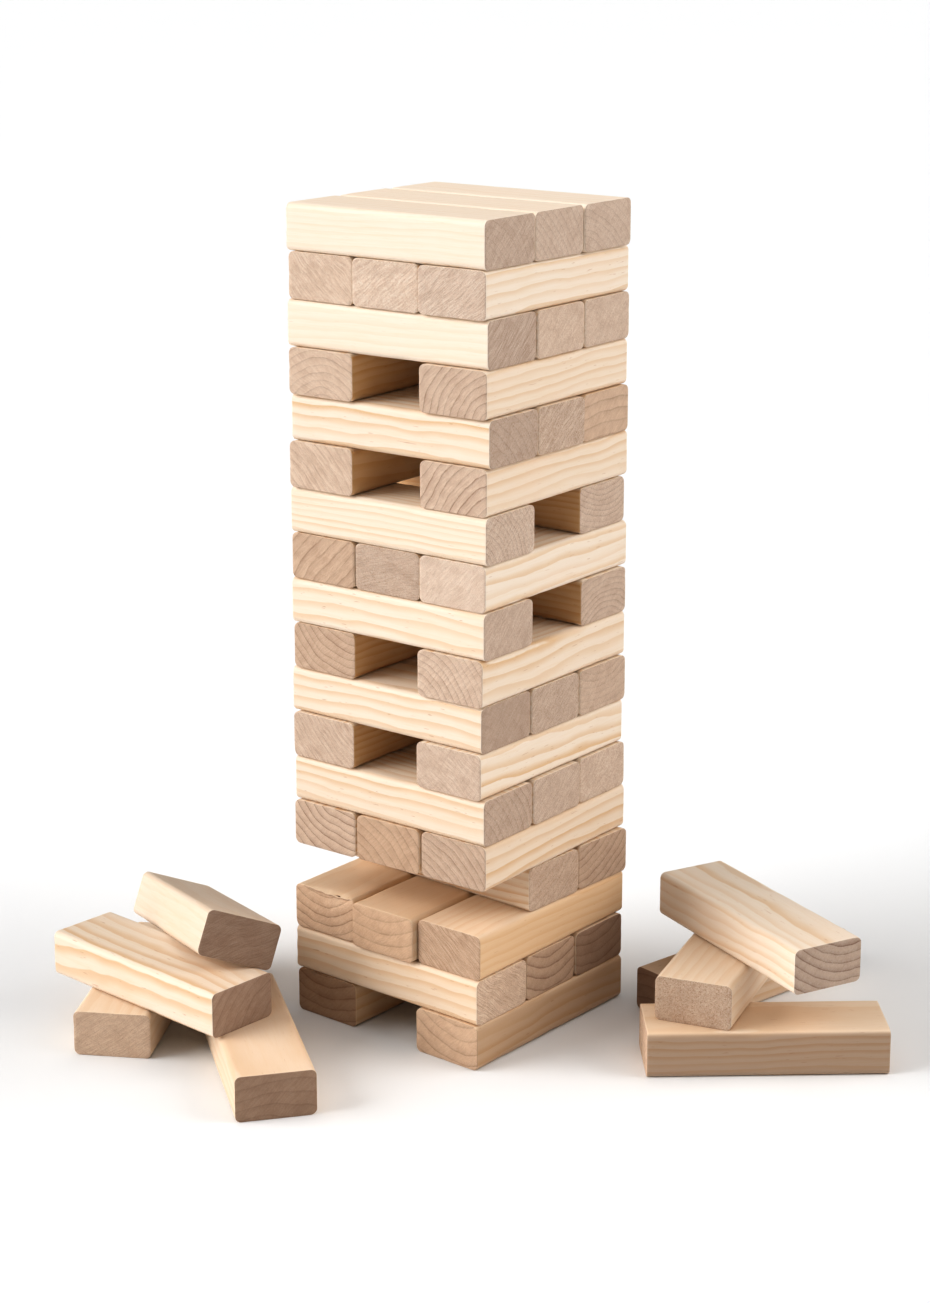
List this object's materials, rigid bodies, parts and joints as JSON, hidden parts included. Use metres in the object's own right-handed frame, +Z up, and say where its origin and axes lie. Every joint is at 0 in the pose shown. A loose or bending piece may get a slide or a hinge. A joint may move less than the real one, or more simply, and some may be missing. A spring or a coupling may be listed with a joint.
{
  "type": "giant tumbling tower",
  "caption": "Tall tumbling tower of crossed wooden blocks part way through a game, with slots where blocks were pulled and loose blocks piled beside it",
  "frame": {"origin": "centre of the tower's square foot, on the ground", "axes": "+Z up, +X to the tower's right as its front is faced, -Y out of its front; odd levels run along Y and even levels along X"},
  "size_m": [0.5932, 0.5169, 0.6309],
  "materials": {
    "pale_pine": "bare planed pine, pale cream, smooth matte",
    "warm_pine": "bare planed pine, tan, smooth matte"
  },
  "bodies": {
    "ground_pair": {"level_01_left": "warm_pine", "level_01_right": "warm_pine"},
    "level_02_front": {"level_02_front": "warm_pine"},
    "level_02_middle": {"level_02_middle": "warm_pine"},
    "level_02_back": {"level_02_back": "warm_pine"},
    "level_03_left": {"level_03_left": "warm_pine"},
    "level_03_middle": {"level_03_middle": "warm_pine"},
    "level_03_right": {"level_03_right": "warm_pine"},
    "level_04_middle": {"level_04_middle": "warm_pine"},
    "level_04_back": {"level_04_back": "warm_pine"},
    "level_05_left": {"level_05_left": "warm_pine"},
    "level_05_middle": {"level_05_middle": "warm_pine"},
    "level_05_right": {"level_05_right": "warm_pine"},
    "level_06_front": {"level_06_front": "pale_pine"},
    "level_06_middle": {"level_06_middle": "pale_pine"},
    "level_06_back": {"level_06_back": "pale_pine"},
    "level_07_left": {"level_07_left": "pale_pine"},
    "level_07_right": {"level_07_right": "pale_pine"},
    "level_08_front": {"level_08_front": "pale_pine"},
    "level_08_middle": {"level_08_middle": "pale_pine"},
    "level_08_back": {"level_08_back": "pale_pine"},
    "level_09_left": {"level_09_left": "pale_pine"},
    "level_09_right": {"level_09_right": "pale_pine"},
    "level_10_front": {"level_10_front": "pale_pine"},
    "level_10_back": {"level_10_back": "pale_pine"},
    "level_11_left": {"level_11_left": "pale_pine"},
    "level_11_middle": {"level_11_middle": "pale_pine"},
    "level_11_right": {"level_11_right": "pale_pine"},
    "level_12_front": {"level_12_front": "pale_pine"},
    "level_12_back": {"level_12_back": "pale_pine"},
    "level_13_left": {"level_13_left": "pale_pine"},
    "level_13_right": {"level_13_right": "pale_pine"},
    "level_14_front": {"level_14_front": "pale_pine"},
    "level_14_middle": {"level_14_middle": "pale_pine"},
    "level_14_back": {"level_14_back": "pale_pine"},
    "level_15_left": {"level_15_left": "pale_pine"},
    "level_15_right": {"level_15_right": "pale_pine"},
    "level_16_front": {"level_16_front": "pale_pine"},
    "level_16_middle": {"level_16_middle": "pale_pine"},
    "level_16_back": {"level_16_back": "pale_pine"},
    "level_17_left": {"level_17_left": "pale_pine"},
    "level_17_middle": {"level_17_middle": "pale_pine"},
    "level_17_right": {"level_17_right": "pale_pine"},
    "level_18_front": {"level_18_front": "pale_pine"},
    "level_18_middle": {"level_18_middle": "pale_pine"},
    "level_18_back": {"level_18_back": "pale_pine"},
    "left_pile_outer": {"left_pile_outer": "pale_pine"},
    "left_pile_inner": {"left_pile_inner": "pale_pine"},
    "left_pile_across": {"left_pile_across": "pale_pine"},
    "left_pile_leaning": {"left_pile_leaning": "pale_pine"},
    "right_pile_front": {"right_pile_front": "pale_pine"},
    "right_pile_back": {"right_pile_back": "pale_pine"},
    "right_pile_across": {"right_pile_across": "pale_pine"},
    "right_pile_top": {"right_pile_top": "pale_pine"}
  },
  "joints": [
    {"name": "slide_level_02_front", "type": "slide", "parent": "ground_pair", "child": "level_02_front", "axis": [0.9994, -0.0349, 0], "range_m": [0, 0.19]},
    {"name": "slide_level_02_middle", "type": "slide", "parent": "ground_pair", "child": "level_02_middle", "axis": [0.9994, -0.0349, 0], "range_m": [-0.19, 0]},
    {"name": "slide_level_02_back", "type": "slide", "parent": "ground_pair", "child": "level_02_back", "axis": [0.9994, -0.0349, 0], "range_m": [-0.19, 0]},
    {"name": "slide_level_03_left", "type": "slide", "parent": "ground_pair", "child": "level_03_left", "axis": [0.0262, 0.9997, 0], "range_m": [0, 0.19]},
    {"name": "slide_level_03_middle", "type": "slide", "parent": "ground_pair", "child": "level_03_middle", "axis": [0.0262, 0.9997, 0], "range_m": [0, 0.19]},
    {"name": "slide_level_03_right", "type": "slide", "parent": "ground_pair", "child": "level_03_right", "axis": [0.0262, 0.9997, 0], "range_m": [0, 0.19]},
    {"name": "slide_level_04_middle", "type": "slide", "parent": "ground_pair", "child": "level_04_middle", "axis": [0.998, -0.0628, 0], "range_m": [-0.19, 0]},
    {"name": "slide_level_04_back", "type": "slide", "parent": "ground_pair", "child": "level_04_back", "axis": [0.998, -0.0628, 0], "range_m": [-0.19, 0]},
    {"name": "slide_level_05_left", "type": "slide", "parent": "ground_pair", "child": "level_05_left", "axis": [0, 1, 0], "range_m": [0, 0.19]},
    {"name": "slide_level_05_middle", "type": "slide", "parent": "ground_pair", "child": "level_05_middle", "axis": [0, 1, 0], "range_m": [0, 0.19]},
    {"name": "slide_level_05_right", "type": "slide", "parent": "ground_pair", "child": "level_05_right", "axis": [0, 1, 0], "range_m": [0, 0.19]},
    {"name": "slide_level_06_front", "type": "slide", "parent": "ground_pair", "child": "level_06_front", "axis": [1, -0.0035, 0], "range_m": [-0.19, 0.19]},
    {"name": "slide_level_06_middle", "type": "slide", "parent": "ground_pair", "child": "level_06_middle", "axis": [1, -0.0035, 0], "range_m": [-0.19, 0.19]},
    {"name": "slide_level_06_back", "type": "slide", "parent": "ground_pair", "child": "level_06_back", "axis": [1, -0.0035, 0], "range_m": [-0.19, 0.19]},
    {"name": "slide_level_07_left", "type": "slide", "parent": "ground_pair", "child": "level_07_left", "axis": [0.007, 1, 0], "range_m": [-0.19, 0.19]},
    {"name": "slide_level_07_right", "type": "slide", "parent": "ground_pair", "child": "level_07_right", "axis": [0.007, 1, 0], "range_m": [-0.19, 0.19]},
    {"name": "slide_level_08_front", "type": "slide", "parent": "ground_pair", "child": "level_08_front", "axis": [0.9999, -0.0105, 0], "range_m": [-0.19, 0.19]},
    {"name": "slide_level_08_middle", "type": "slide", "parent": "ground_pair", "child": "level_08_middle", "axis": [0.9999, -0.0105, 0], "range_m": [-0.19, 0.19]},
    {"name": "slide_level_08_back", "type": "slide", "parent": "ground_pair", "child": "level_08_back", "axis": [0.9999, -0.0105, 0], "range_m": [-0.19, 0.19]},
    {"name": "slide_level_09_left", "type": "slide", "parent": "ground_pair", "child": "level_09_left", "axis": [0.0057, 1, 0], "range_m": [-0.19, 0.19]},
    {"name": "slide_level_09_right", "type": "slide", "parent": "ground_pair", "child": "level_09_right", "axis": [0.0057, 1, 0], "range_m": [-0.19, 0.19]},
    {"name": "slide_level_10_front", "type": "slide", "parent": "ground_pair", "child": "level_10_front", "axis": [1, -0.0009, 0], "range_m": [-0.19, 0.19]},
    {"name": "slide_level_10_back", "type": "slide", "parent": "ground_pair", "child": "level_10_back", "axis": [1, -0.0009, 0], "range_m": [-0.19, 0.19]},
    {"name": "slide_level_11_left", "type": "slide", "parent": "ground_pair", "child": "level_11_left", "axis": [-0.0039, 1, 0], "range_m": [-0.19, 0.19]},
    {"name": "slide_level_11_middle", "type": "slide", "parent": "ground_pair", "child": "level_11_middle", "axis": [-0.0039, 1, 0], "range_m": [-0.19, 0.19]},
    {"name": "slide_level_11_right", "type": "slide", "parent": "ground_pair", "child": "level_11_right", "axis": [-0.0039, 1, 0], "range_m": [-0.19, 0.19]},
    {"name": "slide_level_12_front", "type": "slide", "parent": "ground_pair", "child": "level_12_front", "axis": [1, 0.0087, 0], "range_m": [-0.19, 0.19]},
    {"name": "slide_level_12_back", "type": "slide", "parent": "ground_pair", "child": "level_12_back", "axis": [1, 0.0087, 0], "range_m": [-0.19, 0.19]},
    {"name": "slide_level_13_left", "type": "slide", "parent": "ground_pair", "child": "level_13_left", "axis": [-0.0122, 0.9999, 0], "range_m": [-0.19, 0.19]},
    {"name": "slide_level_13_right", "type": "slide", "parent": "ground_pair", "child": "level_13_right", "axis": [-0.0122, 0.9999, 0], "range_m": [-0.19, 0.19]},
    {"name": "slide_level_14_front", "type": "slide", "parent": "ground_pair", "child": "level_14_front", "axis": [0.9999, 0.0157, 0], "range_m": [-0.19, 0.19]},
    {"name": "slide_level_14_middle", "type": "slide", "parent": "ground_pair", "child": "level_14_middle", "axis": [0.9999, 0.0157, 0], "range_m": [-0.19, 0.19]},
    {"name": "slide_level_14_back", "type": "slide", "parent": "ground_pair", "child": "level_14_back", "axis": [0.9999, 0.0157, 0], "range_m": [-0.19, 0.19]},
    {"name": "slide_level_15_left", "type": "slide", "parent": "ground_pair", "child": "level_15_left", "axis": [-0.0192, 0.9998, 0], "range_m": [-0.19, 0.19]},
    {"name": "slide_level_15_right", "type": "slide", "parent": "ground_pair", "child": "level_15_right", "axis": [-0.0192, 0.9998, 0], "range_m": [-0.19, 0.19]},
    {"name": "slide_level_16_front", "type": "slide", "parent": "ground_pair", "child": "level_16_front", "axis": [0.9997, 0.0227, 0], "range_m": [-0.19, 0.19]},
    {"name": "slide_level_16_middle", "type": "slide", "parent": "ground_pair", "child": "level_16_middle", "axis": [0.9997, 0.0227, 0], "range_m": [-0.19, 0.19]},
    {"name": "slide_level_16_back", "type": "slide", "parent": "ground_pair", "child": "level_16_back", "axis": [0.9997, 0.0227, 0], "range_m": [-0.19, 0.19]},
    {"name": "slide_level_17_left", "type": "slide", "parent": "ground_pair", "child": "level_17_left", "axis": [-0.0131, 0.9999, 0], "range_m": [-0.19, 0.19]},
    {"name": "slide_level_17_middle", "type": "slide", "parent": "ground_pair", "child": "level_17_middle", "axis": [-0.0131, 0.9999, 0], "range_m": [-0.19, 0.19]},
    {"name": "slide_level_17_right", "type": "slide", "parent": "ground_pair", "child": "level_17_right", "axis": [-0.0131, 0.9999, 0], "range_m": [-0.19, 0.19]},
    {"name": "lift_level_18_front", "type": "slide", "parent": "ground_pair", "child": "level_18_front", "axis": [0, 0, 1], "range_m": [0, 0.1]},
    {"name": "lift_level_18_middle", "type": "slide", "parent": "ground_pair", "child": "level_18_middle", "axis": [0, 0, 1], "range_m": [0, 0.1]},
    {"name": "lift_level_18_back", "type": "slide", "parent": "ground_pair", "child": "level_18_back", "axis": [0, 0, 1], "range_m": [0, 0.1]},
    {"name": "slide_left_pile_outer", "type": "slide", "parent": "ground_pair", "child": "left_pile_outer", "axis": [0.4848, -0.8746, 0], "range_m": [-0.15, 0.15]},
    {"name": "slide_left_pile_inner", "type": "slide", "parent": "ground_pair", "child": "left_pile_inner", "axis": [0.7771, -0.6293, 0], "range_m": [0, 0.15]},
    {"name": "slide_left_pile_across", "type": "slide", "parent": "ground_pair", "child": "left_pile_across", "axis": [0.9962, -0.0872, 0], "range_m": [-0.15, 0]},
    {"name": "lift_left_pile_leaning", "type": "slide", "parent": "ground_pair", "child": "left_pile_leaning", "axis": [0, 0, 1], "range_m": [0, 0.06]},
    {"name": "slide_right_pile_front", "type": "slide", "parent": "ground_pair", "child": "right_pile_front", "axis": [0.7771, 0.6293, 0], "range_m": [0, 0.15]},
    {"name": "slide_right_pile_back", "type": "slide", "parent": "ground_pair", "child": "right_pile_back", "axis": [0.2079, 0.9781, 0], "range_m": [0, 0.15]},
    {"name": "slide_right_pile_across", "type": "slide", "parent": "ground_pair", "child": "right_pile_across", "axis": [0.2588, -0.9659, 0], "range_m": [-0.15, 0]},
    {"name": "lift_right_pile_top", "type": "slide", "parent": "ground_pair", "child": "right_pile_top", "axis": [0, 0, 1], "range_m": [0, 0.06]}
  ]
}
